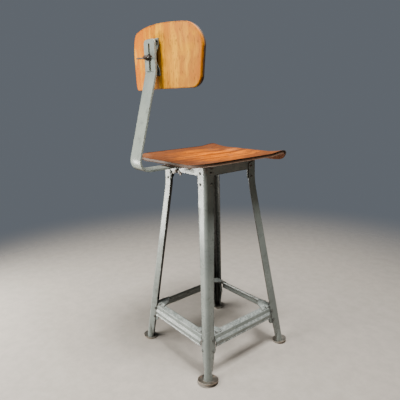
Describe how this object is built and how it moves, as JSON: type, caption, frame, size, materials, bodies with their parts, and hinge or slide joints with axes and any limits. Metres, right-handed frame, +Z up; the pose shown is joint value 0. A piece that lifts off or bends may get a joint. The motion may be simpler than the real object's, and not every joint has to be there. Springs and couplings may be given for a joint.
{
  "type": "drafting chair",
  "caption": "Tall four-legged industrial stool of pressed steel with a moulded plywood seat, a square footrest and a plywood backrest on an adjustable bent flat bar.",
  "frame": {"origin": "on the floor, under the middle of the whole chair's box", "axes": "+Z up; the sitter faces -Y and the backrest is at +Y; +X is the sitter's left"},
  "size_m": [0.3661, 0.4467, 0.99],
  "materials": {
    "frame_paint": "worn satin grey-green paint, chipped to dark steel on the edges",
    "foot_steel": "bare dished steel with brown rust",
    "seat_plywood": "worn red-brown varnish with dark scratches",
    "backrest_plywood": "honey-coloured varnish, worn at the edges",
    "fastener_steel": "dull old steel"
  },
  "bodies": {
    "stool": {"leg_rear_left": "frame_paint", "leg_rear_right": "frame_paint", "leg_front_left": "frame_paint", "leg_front_right": "frame_paint", "foot_plate_rear_left": "foot_steel", "foot_plate_rear_right": "foot_steel", "foot_plate_front_left": "foot_steel", "foot_plate_front_right": "foot_steel", "seat_rail_rear": "frame_paint", "seat_rail_right": "frame_paint", "seat_rail_front": "frame_paint", "seat_rail_left": "frame_paint", "footrest_rail_rear": "frame_paint", "footrest_rail_right": "frame_paint", "footrest_rail_front": "frame_paint", "footrest_rail_left": "frame_paint", "footrest_gusset_rear_left": "frame_paint", "footrest_gusset_rear_right": "frame_paint", "footrest_gusset_front_left": "frame_paint", "footrest_gusset_front_right": "frame_paint", "rail_rivets": "frame_paint", "footrest_rivets": "frame_paint", "gusset_rivets": "frame_paint", "seat_panel": "seat_plywood", "seat_screws": "fastener_steel", "guide_lower_plate": "frame_paint", "guide_upper_plate": "frame_paint", "guide_spacer_left": "frame_paint", "guide_spacer_right": "frame_paint", "clamp_nut": "fastener_steel"},
    "bar": {"backrest_bar": "frame_paint"},
    "carrier": {"tilt_washer": "fastener_steel"},
    "backrest": {"backrest_panel": "backrest_plywood", "backrest_strap": "frame_paint", "strap_rivets": "fastener_steel", "clamp_bolt": "fastener_steel"},
    "backrest_nut": {"backrest_wing_nut": "fastener_steel"},
    "clamp_screw": {"clamp_wing_screw": "fastener_steel"}
  },
  "joints": [
    {"name": "bar_depth_slide", "type": "slide", "parent": "stool", "child": "bar", "axis": [0, 1, 0], "range_m": [-0.06, 0.04]},
    {"name": "clamp_screw_turn", "type": "hinge", "parent": "stool", "child": "clamp_screw", "pos_m": [0, 0.0905, 0.6], "axis": [0, 0, 1], "continuous": true},
    {"name": "backrest_height_slide", "type": "slide", "parent": "bar", "child": "carrier", "axis": [0, 0, 1], "range_m": [-0.024, 0.031]},
    {"name": "backrest_tilt", "type": "hinge", "parent": "carrier", "child": "backrest", "pos_m": [0, 0.1565, 0.906], "axis": [1, 0, 0], "range_deg": [-6, 6]},
    {"name": "backrest_nut_turn", "type": "hinge", "parent": "backrest", "child": "backrest_nut", "pos_m": [0, 0.1565, 0.906], "axis": [0, 1, 0], "continuous": true}
  ]
}
